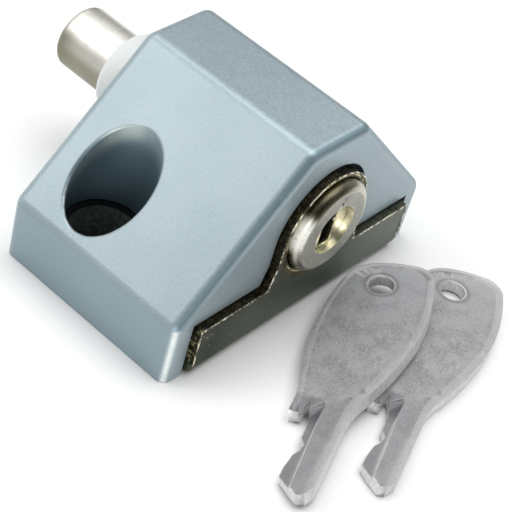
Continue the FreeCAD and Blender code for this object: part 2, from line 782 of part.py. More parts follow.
# One key lies flat. The other leans on it: its tip and one edge of its bow touch the same surface.
# Each place is (x, y, z of the key's tip), then the heading, pitch and roll of the key in degrees.
KEY_PLACES = {
    "key_1": ((38.589, -27.222, 0.375), (111.17, -2.98, -12.18)),
    "key_2": ((43.845, -17.284, 0.0), (110.39, 0.0, 0.0)),
}
for name, (spot, (heading, pitch, roll)) in KEY_PLACES.items():
    key = node(name, build_key(name.replace("_", "")))
    key.setExpression("Placement.Base.z", None)
    turn = FreeCAD.Rotation(Z_AXIS, heading)
    turn *= FreeCAD.Rotation(Y_AXIS, pitch)
    turn *= FreeCAD.Rotation(X_AXIS, roll)
    key.Placement = FreeCAD.Placement(FreeCAD.Vector(*spot), turn)

doc.recompute()

broken = [o.Name for o in doc.Objects if "Invalid" in o.State or "Error" in o.State]
broken += [name for name, o in nodes.items() if o.Shape.isNull() or not o.Shape.isValid()]
if broken:
    raise RuntimeError(f"failed: {broken}")

os.makedirs("parts", exist_ok=True)
for name, obj in nodes.items():
    obj.Shape.exportStep(f"parts/{name}.step")
    print(f"{name}: {len(obj.Shape.Solids)} solid(s), {obj.Shape.Volume:.1f} mm3")
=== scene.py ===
import json
import math
import random

import bmesh
import bpy
from mathutils import Matrix, Vector


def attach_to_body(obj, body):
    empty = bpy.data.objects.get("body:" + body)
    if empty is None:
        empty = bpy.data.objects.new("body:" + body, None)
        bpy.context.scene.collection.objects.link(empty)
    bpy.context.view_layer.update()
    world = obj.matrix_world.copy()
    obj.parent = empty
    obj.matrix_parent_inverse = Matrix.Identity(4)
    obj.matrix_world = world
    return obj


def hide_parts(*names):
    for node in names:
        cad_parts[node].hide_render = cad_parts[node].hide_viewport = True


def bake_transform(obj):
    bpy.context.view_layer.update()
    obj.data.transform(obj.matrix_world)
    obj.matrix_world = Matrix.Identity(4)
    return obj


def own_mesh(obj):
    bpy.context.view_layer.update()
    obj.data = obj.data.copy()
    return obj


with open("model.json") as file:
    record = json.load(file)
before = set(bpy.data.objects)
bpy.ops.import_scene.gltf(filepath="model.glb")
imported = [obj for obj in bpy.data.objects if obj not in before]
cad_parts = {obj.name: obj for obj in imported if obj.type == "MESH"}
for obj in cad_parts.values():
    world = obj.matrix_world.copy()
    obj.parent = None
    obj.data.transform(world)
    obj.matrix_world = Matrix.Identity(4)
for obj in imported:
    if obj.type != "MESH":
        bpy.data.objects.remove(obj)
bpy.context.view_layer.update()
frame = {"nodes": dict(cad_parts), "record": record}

NODES = frame["nodes"]
SLOTS = {part["node"]: part["material_slot"] for part in frame["record"]["subparts"]}
MM = 0.001
ALONG_X = Vector((1, 0, 0))
ALONG_Z = Vector((0, 0, 1))


class Graph:
    """Shorthand for building a node tree. A mask is an output between 0 and 1."""

    def __init__(self, tree):
        self.tree = tree

    def node(self, kind, **settings):
        """Add a shader node and change some of its own settings."""
        made = self.tree.nodes.new(f"ShaderNode{kind}")
        for key, value in settings.items():
            setattr(made, key, value)
        return made

    def put(self, value, socket):
        """Link an output, or set a number or a color."""
        if hasattr(value, "links"):
            self.tree.links.new(value, socket)
        elif isinstance(value, (int, float)):
            socket.default_value = value
        else:
            socket.default_value = (*value, 1)[:len(socket.default_value)]

    def split(self, vector):
        """A vector's three coordinates."""
        made = self.node("SeparateXYZ")
        self.put(vector, made.inputs["Vector"])
        return made.outputs

    def calc(self, operation, *values):
        """The result of one Math node."""
        made = self.node("Math", operation=operation)
        for value, socket in zip(values, made.inputs):
            self.put(value, socket)
        return made.outputs[0]

    def ease(self, source, low, high, out_low=0.0, out_high=1.0):
        """A smooth step from one level to another while the source goes from low to high."""
        made = self.node("MapRange", interpolation_type="SMOOTHSTEP")
        for value, socket in zip((source, low, high, out_low, out_high), made.inputs):
            self.put(value, socket)
        return made.outputs[0]

    def band(self, source, centre, half, soft):
        """1 where the source is within half of the centre, falling to 0 over the soft width."""
        off = self.calc("ABSOLUTE", self.calc("SUBTRACT", source, centre))
        return self.ease(off, half, half + soft, 1.0, 0.0)

    def every(self, *masks):
        """A mask that is 1 only where every one of the given masks is 1."""
        result = masks[0]
        for mask in masks[1:]:
            result = self.calc("MULTIPLY", result, mask)
        return result

    def faded(self, mask, share):
        """A mask at a share of its strength."""
        return self.calc("MULTIPLY", mask, share)

    def mix(self, factor, a, b):
        """A color that goes from a to b as the factor goes from 0 to 1."""
        made = self.node("Mix", data_type="RGBA")
        for value, socket in ((factor, made.inputs[0]), (a, made.inputs[6]), (b, made.inputs[7])):
            self.put(value, socket)
        return made.outputs[2]

    def blend(self, factor, a, b):
        """A number that goes from a to b as the factor goes from 0 to 1."""
        made = self.node("Mix", data_type="FLOAT")
        for value, socket in ((factor, made.inputs[0]), (a, made.inputs[2]), (b, made.inputs[3])):
            self.put(value, socket)
        return made.outputs[0]


# ---- Camera, floor and light --------------------------------------------------------------------

# The camera's direction from the lock and its roll in degrees, its distance and its offset to the
# right and up in metres, and its lens in millimetres.
VIEW_AZIMUTH = 30.63
VIEW_ELEVATION = 41.35
VIEW_ROLL = 17.14
VIEW_DISTANCE = 0.23263
VIEW_OFFSET = (0.00613, -0.00226)
VIEW_LENS = 114.55

# Brightness of the sky at its rim and straight up.
SKY_RIM_LEVEL = 0.20
SKY_TOP_LEVEL = 0.68
# Parts of the sky that are brighter or darker than the rest: a direction, the angles within which
# the patch is full and beyond which it is gone, in degrees, and its level.
SKY_PATCHES = (
    ((0.70, -0.45, 0.55), 20, 48, 0.02),
    ((-0.95, -0.20, 0.22), 30, 65, 0.80),
    ((-0.38, 0.03, 0.92), 5, 22, 2.0),
    ((0.56, -0.82, 0.10), 8, 24, 4.5),
)

# Square lights: a name, a place and a width in metres, a power in watts and a color.
LIGHTS = (
    ("top_light", (0.05, 0.13, 0.55), 0.50, 1.75, (1, 1, 1)),
    ("slope_card", (-0.28, -0.28, 0.36), 0.20, 0.38, (1.0, 0.96, 0.94)),
)
LIGHT_TARGET = (0, 0, 0.015)

FLOOR_WIDTH = 3.0
# The floor lies just below the base plate, so that the two faces never coincide.
FLOOR_Z = -0.00005


def add_camera():
    """A long lens that looks down on the lock's key end, rolled so that the lock leans left."""
    azimuth, elevation, roll = (math.radians(a) for a in (VIEW_AZIMUTH, VIEW_ELEVATION, VIEW_ROLL))
    back = Vector((math.sin(azimuth) * math.cos(elevation),
                   -math.cos(azimuth) * math.cos(elevation), math.sin(elevation)))
    level = Vector((math.cos(azimuth), math.sin(azimuth), 0))
    upright = back.cross(level)
    right = math.cos(roll) * level + math.sin(roll) * upright
    up = math.cos(roll) * upright - math.sin(roll) * level
    camera = bpy.data.objects.new("camera", bpy.data.cameras.new("camera"))
    camera.data.lens = VIEW_LENS
    camera.data.sensor_width = 36
    camera.data.clip_start = 0.01
    camera.data.clip_end = 20
    camera.matrix_world = Matrix((right, up, back)).transposed().to_4x4()
    camera.location = back * VIEW_DISTANCE + right * VIEW_OFFSET[0] + up * VIEW_OFFSET[1]
    bpy.context.scene.collection.objects.link(camera)
    bpy.context.scene.camera = camera


def add_world():
    """A soft sky that is bright overhead and dim towards the horizon."""
    world = bpy.data.worlds.new("studio")
    bpy.context.scene.world = world
    world.use_nodes = True
    sky = Graph(world.node_tree)
    direction = sky.node("TexCoord").outputs["Generated"]
    level = sky.ease(sky.split(direction)["Z"], 0.0, 0.95, SKY_RIM_LEVEL, SKY_TOP_LEVEL)
    for centre, full, gone, patch_level in SKY_PATCHES:
        toward = sky.node("VectorMath", operation="DOT_PRODUCT")
        sky.put(direction, toward.inputs[0])
        toward.inputs[1].default_value = Vector(centre).normalized()
        inside = sky.ease(toward.outputs["Value"], math.cos(math.radians(gone)),
                          math.cos(math.radians(full)))
        level = sky.blend(inside, level, patch_level)
    sky.put(level, world.node_tree.nodes["Background"].inputs["Color"])


def add_area_light(name, place, width, power, color):
    """A square light that faces the lock."""
    light = bpy.data.lights.new(name, "AREA")
    light.color = color
    light.size = width
    light.energy = power
    lamp = bpy.data.objects.new(name, light)
    lamp.location = place
    direction = Vector(LIGHT_TARGET) - Vector(place)
    lamp.rotation_euler = direction.to_track_quat("-Z", "Y").to_euler()
    bpy.context.scene.collection.objects.link(lamp)


def add_studio():
    """The sky, the lights and a plain white floor."""
    add_world()
    for light in LIGHTS:
        add_area_light(*light)
    bpy.context.scene.view_settings.view_transform = "Standard"
    bpy.ops.mesh.primitive_plane_add(size=FLOOR_WIDTH, location=(0, 0, FLOOR_Z))
    floor = bpy.context.object
    floor.name = "floor"
    material = bpy.data.materials.new("floor_white")
    material.use_nodes = True
    shader = material.node_tree.nodes["Principled BSDF"]
    shader.inputs["Base Color"].default_value = (0.97, 0.97, 0.97, 1)
    shader.inputs["Roughness"].default_value = 0.9
    floor.data.materials.append(material)


# ---- Materials ----------------------------------------------------------------------------------

# Places on the lock that the wear and the stains keep to, in millimetres. The bolt and the barrel
# share one axis. A screw pocket narrows to a neck at its ledge. The housing's two slopes would
# meet in a ridge over the middle, and they fall away from it to either side.
AXIS_Z = 16.0
POCKET_X = -5.3
POCKET_Y = 18.6
POCKET_RADIUS = 5.7
NECK_RADIUS = 4.75
LEDGE_Z = 7.9
SLOPE_RIDGE = 34.84
SLOPE_FALL = 0.9706
PLATE_THICK = 2.0
OPENING_RIM_RADIUS = 7.72
BARREL_FRONT = 17.9
BARREL_HOLE_RADIUS = 3.8
PLUG_FACE = 16.8
KEYWAY_HALF = 1.2
BOLT_TIP = -31.5
KEY_THICK = 2.2
KEY_HOLE = (40.2, 1.15)
KEY_HOLE_RADIUS = 1.85


class Paint(Graph):
    """Builds one Principled material. Places and pattern sizes are in millimetres.

    A local material takes its places from the own coordinates stored on each piece."""

    def __init__(self, name, local=False, **settings):
        self.material = bpy.data.materials.new(name)
        self.material.use_nodes = True
        super().__init__(self.material.node_tree)
        self.shader = self.tree.nodes["Principled BSDF"]
        for key, value in settings.items():
            self.shader.inputs[key.replace("_", " ")].default_value = value
        coordinates = self.node("TexCoord")
        if local:
            self.place = self.node("Attribute", attribute_name="local").outputs["Vector"]
        else:
            scale = self.node("VectorMath", operation="SCALE")
            self.put(coordinates.outputs["Object"], scale.inputs["Vector"])
            scale.inputs["Scale"].default_value = 1 / MM
            self.place = scale.outputs["Vector"]
        self.x, self.y, self.z = self.split(self.place)
        self.facing_x, self.facing_y, self.facing_z = self.split(coordinates.outputs["Normal"])

    def distance(self, a, a_centre, b, b_centre):
        """How far a place is from an axis, from its two coordinates across that axis."""
        a_square = self.calc("POWER", self.calc("SUBTRACT", a, a_centre), 2)
        b_square = self.calc("POWER", self.calc("SUBTRACT", b, b_centre), 2)
        return self.calc("SQRT", self.calc("ADD", a_square, b_square))

    def toward(self, radius, aside, upward):
        """How much a place on the barrel lies in one direction from the barrel's axis: about 1
        straight that way, and -1 on the opposite side."""
        right = self.calc("MULTIPLY", self.y, aside)
        above = self.calc("MULTIPLY", self.calc("SUBTRACT", self.z, AXIS_Z), upward)
        return self.calc("DIVIDE", self.calc("ADD", right, above), radius)

    def stretched(self, scale, turn=0.0):
        """The place scaled along each axis, then turned about Z by some degrees."""
        mapping = self.node("Mapping")
        self.put(self.place, mapping.inputs["Vector"])
        mapping.inputs["Rotation"].default_value = (0, 0, math.radians(turn))
        mapping.inputs["Scale"].default_value = scale
        return mapping.outputs["Vector"]

    def noise(self, scale, detail=4.0, rough=0.5, vector=None):
        """A cloudy pattern with a number of clouds to each millimetre."""
        made = self.node("TexNoise")
        self.put(vector or self.place, made.inputs["Vector"])
        for key, value in (("Scale", scale), ("Detail", detail), ("Roughness", rough)):
            made.inputs[key].default_value = value
        return made.outputs["Fac"]

    def specks(self, scale, radius, share):
        """Small round specks: about a share of the cells of a random pattern holds one."""
        cells = self.node("TexVoronoi")
        self.put(self.place, cells.inputs["Vector"])
        cells.inputs["Scale"].default_value = scale
        chosen = self.node("SeparateColor")
        self.put(cells.outputs["Color"], chosen.inputs["Color"])
        near = self.ease(cells.outputs["Distance"], radius * 0.6, radius, 1.0, 0.0)
        return self.every(near, self.calc("LESS_THAN", chosen.outputs[0], share))

    def bump(self, height, depth, before=None):
        """Relief: the height from 0 to 1 stands for a depth in millimetres."""
        made = self.node("Bump")
        made.inputs["Strength"].default_value = 1.0
        made.inputs["Distance"].default_value = depth * MM
        self.put(height, made.inputs["Height"])
        if before is not None:
            self.put(before, made.inputs["Normal"])
        return made.outputs["Normal"]

    def finish(self, color, roughness, normal):
        """Connect the three results to the shader and hand over the material."""
        for name, value in (("Base Color", color), ("Roughness", roughness), ("Normal", normal)):
            self.put(value, self.shader.inputs[name])
        return self.material


def housing_paint():
    """Satin silver-blue powder coat, with painted shade deep in the screw pockets and a painted
    highlight on their lower rims."""
    paint = Paint("housing_paint", Metallic=0.6)
    grain = paint.noise(4.0, 3, 0.6)
    clouds = paint.ease(paint.noise(0.09, 3), 0.3, 0.7)
    color = paint.mix(clouds, (0.330, 0.412, 0.450), (0.362, 0.448, 0.484))
    color = paint.mix(paint.ease(grain, 0.45, 0.72, 0.0, 0.40), color, (0.51, 0.59, 0.62))
    color = paint.mix(paint.ease(grain, 0.30, 0.50, 0.35, 0.0), color, (0.22, 0.30, 0.34))
    dark_specks = paint.faded(paint.specks(0.40, 0.05, 0.40), 0.75)
    color = paint.mix(dark_specks, color, (0.08, 0.10, 0.13))
    bright_specks = paint.faded(paint.specks(0.55, 0.04, 0.3), 0.5)
    color = paint.mix(bright_specks, color, (0.85, 0.88, 0.88))

    # Painted highlight on the rounded upright corners, and painted shade on the low walls and on
    # the bends over the key end.
    aside = paint.calc("ABSOLUTE", paint.y)
    facing_aside = paint.calc("ABSOLUTE", paint.facing_y)
    painted_highlight = paint.every(paint.band(facing_aside, 0.70, 0.04, 0.36),
                         paint.band(paint.facing_x, 0.70, 0.04, 0.36),
                         paint.band(paint.facing_z, 0.0, 0.2, 0.2), paint.ease(aside, 22, 23),
                         paint.ease(paint.noise(0.5, 3), 0.3, 0.6, 0.7, 1.0))
    color = paint.mix(painted_highlight, color, (0.86, 0.92, 0.90))
    # Painted shade on the low walls.
    low_wall = paint.every(paint.ease(facing_aside, 0.85, 0.98), paint.ease(aside, 24, 25.5))
    color = paint.mix(paint.faded(low_wall, 0.5), color, (0.17, 0.25, 0.28))
    # Painted shade on the bends over the key end.
    shadowed = paint.every(paint.band(paint.facing_x, 0.58, 0.14, 0.25),
                           paint.ease(paint.facing_z, 0.15, 0.35))
    color = paint.mix(paint.faded(shadowed, 0.55), color, (0.13, 0.23, 0.28))

    # The screw pockets: depth is measured down from the slope that each is sunk in.
    radius = paint.distance(paint.x, POCKET_X, aside, POCKET_Y)
    slope_z = paint.calc("MULTIPLY_ADD", aside, -SLOPE_FALL, SLOPE_RIDGE)
    depth = paint.calc("SUBTRACT", slope_z, paint.z)
    inside = paint.ease(radius, POCKET_RADIUS + 0.1, POCKET_RADIUS + 0.25, 1.0, 0.0)
    # Painted shade deep in the pockets.
    shade = paint.every(inside, paint.ease(depth, 0.3, 4.5, 0.10, 0.70),
                        paint.ease(paint.z, LEDGE_Z - 0.5, LEDGE_Z))
    color = paint.mix(shade, color, (0.030, 0.092, 0.132))
    # A painted highlight high on each pocket's far wall.
    to_bolt_end = paint.calc("MULTIPLY", paint.calc("SUBTRACT", POCKET_X, paint.x), 0.6)
    to_ridge = paint.calc("MULTIPLY", paint.calc("SUBTRACT", POCKET_Y, aside), 0.8)
    painted_sheen = paint.every(inside, paint.ease(paint.calc("ADD", to_bolt_end, to_ridge), 4.7, 5.7),
                        paint.ease(depth, 0.8, 3.4, 0.70, 0.0))
    color = paint.mix(painted_sheen, color, (0.62, 0.72, 0.68))
    in_neck = paint.ease(radius, NECK_RADIUS + 0.05, NECK_RADIUS + 0.15, 1.0, 0.0)
    below = paint.every(in_neck, paint.ease(paint.z, LEDGE_Z - 0.4, LEDGE_Z + 0.1, 0.90, 0.0))
    dust = paint.mix(paint.ease(paint.noise(1.5, 6, 0.75), 0.40, 0.70),
                     (0.07, 0.078, 0.072), (0.25, 0.255, 0.225))
    color = paint.mix(below, color, dust)
    # A painted highlight along each pocket's lower rim.
    lower_rim = paint.every(paint.band(radius, POCKET_RADIUS + 0.2, 0.06, 0.12),
                            paint.ease(aside, POCKET_Y + 2, POCKET_Y + 4),
                            paint.ease(depth, 0.5, 0.9, 1.0, 0.0),
                            paint.ease(paint.noise(1.8, 4, 0.7), 0.40, 0.60, 0.25, 0.9))
    color = paint.mix(lower_rim, color, (0.92, 0.94, 0.92))
    # A black painted shadow at the ledge.
    ledge = paint.every(inside, paint.band(paint.z, LEDGE_Z, 0.12, 0.12))
    color = paint.mix(ledge, color, (0.006, 0.007, 0.008))

    rough = paint.blend(below, paint.ease(grain, 0.3, 0.7, 0.34, 0.46), 0.7)
    normal = paint.bump(grain, 0.010)
    normal = paint.bump(paint.noise(1.1, 3), 0.014, normal)
    return paint.finish(color, rough, normal)


def plate_steel():
    """Dark passivated steel, mottled green-grey, with bright sheared edges and rusty sides."""
    paint = Paint("plate_steel", Metallic=0.8)
    mottle = paint.noise(0.8, 6, 0.65)
    color = paint.mix(paint.ease(mottle, 0.35, 0.65), (0.035, 0.048, 0.030), (0.105, 0.122, 0.085))
    color = paint.mix(paint.ease(paint.y, -20, 20, 0.0, 0.55), color, (0.20, 0.225, 0.20))
    grit = paint.ease(paint.noise(3.5, 5, 0.7), 0.56, 0.72, 0.0, 0.7)
    color = paint.mix(grit, color, (0.27, 0.28, 0.21))

    # The flange's front: a painted green reflection low down on the near side, almost black at the
    # near end.
    in_front = paint.ease(paint.facing_x, 0.8, 0.95)
    green_reflection = paint.every(paint.ease(paint.y, -21.5, -12, 1.0, 0.0),
                        paint.ease(paint.z, 1.0, 6.0, 1.0, 0.0), in_front)
    color = paint.mix(paint.faded(green_reflection, 0.5), color, (0.03, 0.13, 0.07))
    near_end = paint.every(paint.ease(paint.y, -20, -11, 1.0, 0.0), in_front)
    soot = paint.every(near_end, paint.ease(paint.noise(0.35, 4, 0.6), 0.35, 0.65, 0.55, 0.85))
    color = paint.mix(soot, color, (0.010, 0.016, 0.008))
    chips = paint.every(near_end, paint.ease(paint.noise(1.3, 3, 0.5), 0.66, 0.72, 0.0, 0.8))
    color = paint.mix(chips, color, (0.42, 0.44, 0.27))
    around = paint.distance(paint.y, 0, paint.z, AXIS_Z)
    stain = paint.mix(paint.ease(paint.noise(1.5, 4), 0.4, 0.6),
                      (0.045, 0.038, 0.022), (0.17, 0.14, 0.07))
    color = paint.mix(paint.ease(around, 8.3, 9.2, 0.85, 0.0), color, stain)
    opening = paint.every(paint.band(around, OPENING_RIM_RADIUS, 0.05, 0.08),
                          paint.ease(paint.noise(0.5, 3), 0.4, 0.55))
    color = paint.mix(opening, color, (0.80, 0.72, 0.42))

    # The sheared sides: rusty, with a lit stretch at the far end and gilt at the near one.
    sideways = paint.every(paint.ease(paint.facing_x, 0.2, 0.5, 1.0, 0.0),
                           paint.ease(paint.facing_z, -0.8, -0.4),
                           paint.ease(paint.z, PLATE_THICK, PLATE_THICK + 0.3))
    side = paint.mix(paint.ease(paint.noise(1.6, 5, 0.7), 0.42, 0.65),
                     (0.010, 0.010, 0.007), (0.075, 0.062, 0.030))
    lit_side = paint.every(paint.ease(paint.y, 6, 16), paint.ease(paint.z, 8.8, 9.4, 1.0, 0.0),
                           paint.ease(paint.noise(1.1, 4), 0.35, 0.6, 0.35, 0.85))
    side = paint.mix(lit_side, side, (0.115, 0.135, 0.105))
    gilt = paint.every(paint.ease(paint.y, -21.8, -20.8, 1.0, 0.0),
                       paint.ease(paint.noise(1.3, 4, 0.6), 0.54, 0.62))
    side = paint.mix(gilt, side, (0.50, 0.46, 0.24))
    color = paint.mix(sideways, color, side)
    torn = paint.every(paint.ease(paint.facing_x, 0.25, 0.5),
                       paint.ease(paint.facing_x, 0.86, 0.97, 1.0, 0.0),
                       paint.ease(paint.noise(1.4, 4, 0.7), 0.36, 0.50),
                       paint.ease(paint.z, PLATE_THICK + 0.2, PLATE_THICK + 0.6))
    color = paint.mix(torn, color, (0.85, 0.82, 0.62))

    rough = paint.blend(torn, paint.ease(mottle, 0.3, 0.7, 0.38, 0.55), 0.3)
    normal = paint.bump(paint.noise(2.5, 6, 0.7), 0.03)
    rolling_lines = paint.noise(6.0, 3, vector=paint.stretched((1, 0.15, 1)))
    normal = paint.bump(rolling_lines, 0.01, normal)
    return paint.finish(color, rough, normal)


def torn_steel():
    """The bright metal of a sheared edge, stained dark in places."""
    paint = Paint("torn_steel", Metallic=0.55)
    bright = paint.ease(paint.noise(0.55, 5, 0.7), 0.44, 0.56)
    color = paint.mix(bright, (0.07, 0.06, 0.03), (0.97, 0.93, 0.72))
    rough = paint.ease(paint.noise(3.0, 3), 0.3, 0.7, 0.2, 0.4)
    return paint.finish(color, rough, paint.bump(paint.noise(5.0, 3), 0.03))


def barrel_nickel():
    """Satin nickel plate: a brushed grey face, a polished rim with painted shade and a painted
    highlight, and a tarnished, dark side.
    """
    paint = Paint("satin_nickel", Metallic=1.0)
    radius = paint.distance(paint.y, 0, paint.z, AXIS_Z)
    swirl = paint.noise(1.5, 4)
    face = paint.every(paint.ease(paint.x, BARREL_FRONT - 0.30, BARREL_FRONT - 0.04),
                       paint.ease(radius, 5.8, 6.5, 1.0, 0.0),
                       paint.ease(radius, BARREL_HOLE_RADIUS + 0.05, BARREL_HOLE_RADIUS + 0.15))
    color = paint.mix(paint.ease(swirl, 0.3, 0.7), (0.76, 0.74, 0.62), (0.88, 0.86, 0.76))
    brushed = paint.mix(paint.ease(swirl, 0.35, 0.65), (0.42, 0.42, 0.365), (0.50, 0.50, 0.44))
    color = paint.mix(face, color, brushed)
    side = paint.every(paint.ease(paint.x, 16.4, 17.3, 1.0, 0.0), paint.ease(radius, 6.7, 6.9))
    tarnish = paint.mix(paint.ease(paint.noise(1.0, 4), 0.4, 0.6),
                        (0.14, 0.11, 0.05), (0.32, 0.27, 0.14))
    color = paint.mix(paint.faded(side, 0.9), color, tarnish)

    # The rim has painted shade towards its upper left, far and lower sides, and a painted
    # highlight at its left.
    upper_left = paint.toward(radius, -0.62, 0.78)
    shaded = paint.every(paint.ease(radius, 5.95, 6.35), paint.ease(upper_left, 0.15, 0.75))
    color = paint.mix(paint.faded(shaded, 0.94), color, (0.07, 0.06, 0.032))
    # Painted shade on the rim's far side.
    far_rim_shade = paint.every(paint.ease(radius, 5.9, 6.5), paint.ease(paint.y, -0.5, 3.5))
    color = paint.mix(paint.faded(far_rim_shade, 0.8), color, (0.46, 0.46, 0.40))
    # Painted shade on the rim's lower side.
    under = paint.every(paint.ease(radius, 5.95, 6.6),
                        paint.ease(paint.z, AXIS_Z - 3.6, AXIS_Z - 1.2, 1.0, 0.0))
    color = paint.mix(paint.faded(under, 0.92), color, (0.10, 0.10, 0.06))
    # A painted highlight on the rim's left.
    left = paint.toward(radius, -0.97, 0.24)
    painted_highlight = paint.every(paint.ease(radius, 6.0, 6.6), paint.ease(left, 0.87, 0.99))
    color = paint.mix(painted_highlight, color, (1.0, 0.99, 0.90))
    paint.put(paint.blend(painted_highlight, 1.0, 0.2), paint.shader.inputs["Metallic"])

    rough = paint.blend(face, paint.ease(swirl, 0.3, 0.7, 0.26, 0.34), 0.40)
    return paint.finish(color, rough, paint.bump(paint.noise(4.0, 4), 0.004))


def plug_nickel():
    """Nickel-plated brass, rubbed through to yellow round a keyway darkened with painted shade."""
    paint = Paint("plug_nickel", Metallic=1.0)
    patch = paint.noise(0.9, 5, 0.65)
    color = paint.mix(paint.ease(patch, 0.42, 0.62), (0.92, 0.90, 0.76), (0.86, 0.78, 0.42))
    rust = paint.ease(paint.noise(2.4, 4, 0.7), 0.62, 0.72, 0.0, 0.8)
    color = paint.mix(rust, color, (0.30, 0.10, 0.03))
    color = paint.mix(paint.ease(paint.z, 11.8, 13.6, 0.6, 0.0), color, (0.62, 0.72, 0.25))
    aside = paint.calc("ABSOLUTE", paint.y)
    # Painted shade inside the keyway.
    keyway_shade = paint.every(paint.ease(aside, KEYWAY_HALF - 0.02, KEYWAY_HALF + 0.04, 1.0, 0.0),
                       paint.ease(paint.x, PLUG_FACE - 0.7, PLUG_FACE - 0.08, 1.0, 0.35))
    color = paint.mix(paint.faded(keyway_shade, 0.93), color, (0.012, 0.012, 0.010))
    rough = paint.ease(patch, 0.3, 0.7, 0.22, 0.38)
    return paint.finish(color, rough, paint.bump(paint.noise(1.8, 5, 0.6), 0.03))


def bolt_nickel():
    """Turned and nickel plated: fine turning lines, with olive painted shade low on the shank and
    towards the tip.
    """
    paint = Paint("bright_nickel", Metallic=1.0)
    lines = paint.noise(3.0, 5, 0.6, vector=paint.stretched((2.5, 0.25, 0.25)))
    clouds = paint.ease(paint.noise(0.5, 4), 0.3, 0.7)
    color = paint.mix(clouds, (0.80, 0.79, 0.72), (0.88, 0.87, 0.81))
    # Olive painted shade low on the shank.
    low = paint.ease(paint.z, AXIS_Z - 0.2, AXIS_Z + 3.4, 0.95, 0.0)
    color = paint.mix(low, color, (0.25, 0.245, 0.185))
    # Painted shade towards the tip.
    tip = paint.every(paint.ease(paint.x, BOLT_TIP + 0.2, BOLT_TIP + 4.5, 0.85, 0.0),
                      paint.ease(paint.z, AXIS_Z + 1.5, AXIS_Z + 4.2, 1.0, 0.25))
    color = paint.mix(tip, color, (0.20, 0.20, 0.14))
    stains = paint.ease(paint.noise(1.6, 5, 0.7), 0.60, 0.75, 0.0, 0.5)
    color = paint.mix(stains, color, (0.35, 0.33, 0.24))
    rough = paint.ease(lines, 0.3, 0.7, 0.32, 0.44)
    return paint.finish(color, rough, paint.bump(lines, 0.0015))


def nylon():
    """Milky moulded nylon."""
    paint = Paint("white_nylon", Subsurface_Weight=0.3, Subsurface_Scale=0.003,
                  Subsurface_Radius=(0.9, 1.0, 0.9))
    clouds = paint.ease(paint.noise(0.15, 3), 0.3, 0.7)
    color = paint.mix(clouds, (0.66, 0.70, 0.69), (0.77, 0.80, 0.79))
    color = paint.mix(paint.faded(paint.specks(0.5, 0.05, 0.3), 0.4), color, (0.5, 0.47, 0.4))
    rough = paint.ease(paint.noise(0.9, 3), 0.3, 0.7, 0.32, 0.46)
    return paint.finish(color, rough, paint.bump(paint.noise(1.5, 2), 0.008))


